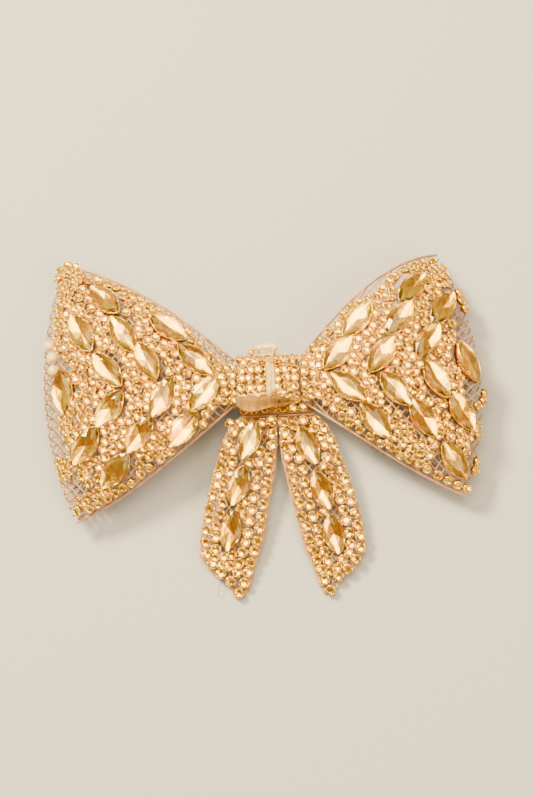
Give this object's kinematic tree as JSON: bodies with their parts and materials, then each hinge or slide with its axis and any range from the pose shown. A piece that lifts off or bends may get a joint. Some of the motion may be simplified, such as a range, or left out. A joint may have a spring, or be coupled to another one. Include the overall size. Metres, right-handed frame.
{
  "type": "rhinestone bow hair clip",
  "caption": "Puffed net bow covered in round and marquise rhinestones, with two hanging tails, on a sprung metal hair clip.",
  "frame": {"origin": "middle of the lower jaw's flat underside, behind the middle of the bow, on the plane that it rests on", "axes": "+X along the bow towards the right-hand loop as seen from the front, +Y towards the bow's top, +Z out of its face"},
  "size_m": [0.1507, 0.1178, 0.023],
  "materials": {
    "net": "pale blush diamond net",
    "rhinestone_cup": "polished gold-coloured plating",
    "round_crystal": "foiled faceted crystal",
    "marquise_setting": "polished gold-coloured plating",
    "marquise_crystal": "foiled faceted crystal",
    "knot_fabric": "net folded over and glued",
    "clear_film": "clear film",
    "tape": "white woven tape, frayed",
    "thread": "ivory thread",
    "gold_bead": "polished",
    "pearl": "pearlescent",
    "tail_fabric": "pale blush net over a backing",
    "felt": "pressed felt",
    "clip_metal": "nickel-plated, satin",
    "pin_metal": "polished",
    "spring_steel": "drawn wire"
  },
  "bodies": {
    "ornament": {"left_loop_net": "net", "left_chain_cups": "rhinestone_cup", "left_chain_stones": "round_crystal", "left_marquise_settings": "marquise_setting", "left_marquise_stones": "marquise_crystal", "right_loop_net": "net", "right_chain_cups": "rhinestone_cup", "right_chain_stones": "round_crystal", "right_marquise_settings": "marquise_setting", "right_marquise_stones": "marquise_crystal", "gathered_core": "net", "binding_thread": "thread", "knot_band": "knot_fabric", "knot_cups": "rhinestone_cup", "knot_stones": "round_crystal", "knot_flap": "knot_fabric", "clear_strap": "clear_film", "tape_end": "tape", "gold_bead": "gold_bead", "pearls": "pearl", "pearl_thread": "thread", "tail_yoke": "tail_fabric", "yoke_cups": "rhinestone_cup", "yoke_stones": "round_crystal", "felt_pad": "felt", "upper_jaw": "clip_metal", "hinge_pin": "pin_metal", "clip_spring": "spring_steel"},
    "lower_jaw": {"lower_jaw": "clip_metal"},
    "left_tail": {"left_tail_backing": "tail_fabric", "left_tail_cups": "rhinestone_cup", "left_tail_stones": "round_crystal", "left_tail_settings": "marquise_setting", "left_tail_marquises": "marquise_crystal"},
    "right_tail": {"right_tail_backing": "tail_fabric", "right_tail_cups": "rhinestone_cup", "right_tail_stones": "round_crystal", "right_tail_settings": "marquise_setting", "right_tail_marquises": "marquise_crystal"}
  },
  "joints": [
    {"name": "jaw_hinge", "type": "hinge", "parent": "ornament", "child": "lower_jaw", "pos_m": [0.014, 0, 0.0037], "axis": [0, -1, 0], "range_deg": [0, 26], "stiffness_Nm_per_rad": 0.05, "springref_deg": -57.3, "deforming": ["clip_spring"]},
    {"name": "left_tail_lift", "type": "hinge", "parent": "ornament", "child": "left_tail", "pos_m": [0.0027, -0.0116, 0.0102], "axis": [-1, 0, 0], "range_deg": [0, 35]},
    {"name": "right_tail_lift", "type": "hinge", "parent": "ornament", "child": "right_tail", "pos_m": [0.0027, -0.0116, 0.0102], "axis": [-1, 0, 0], "range_deg": [0, 35]}
  ]
}
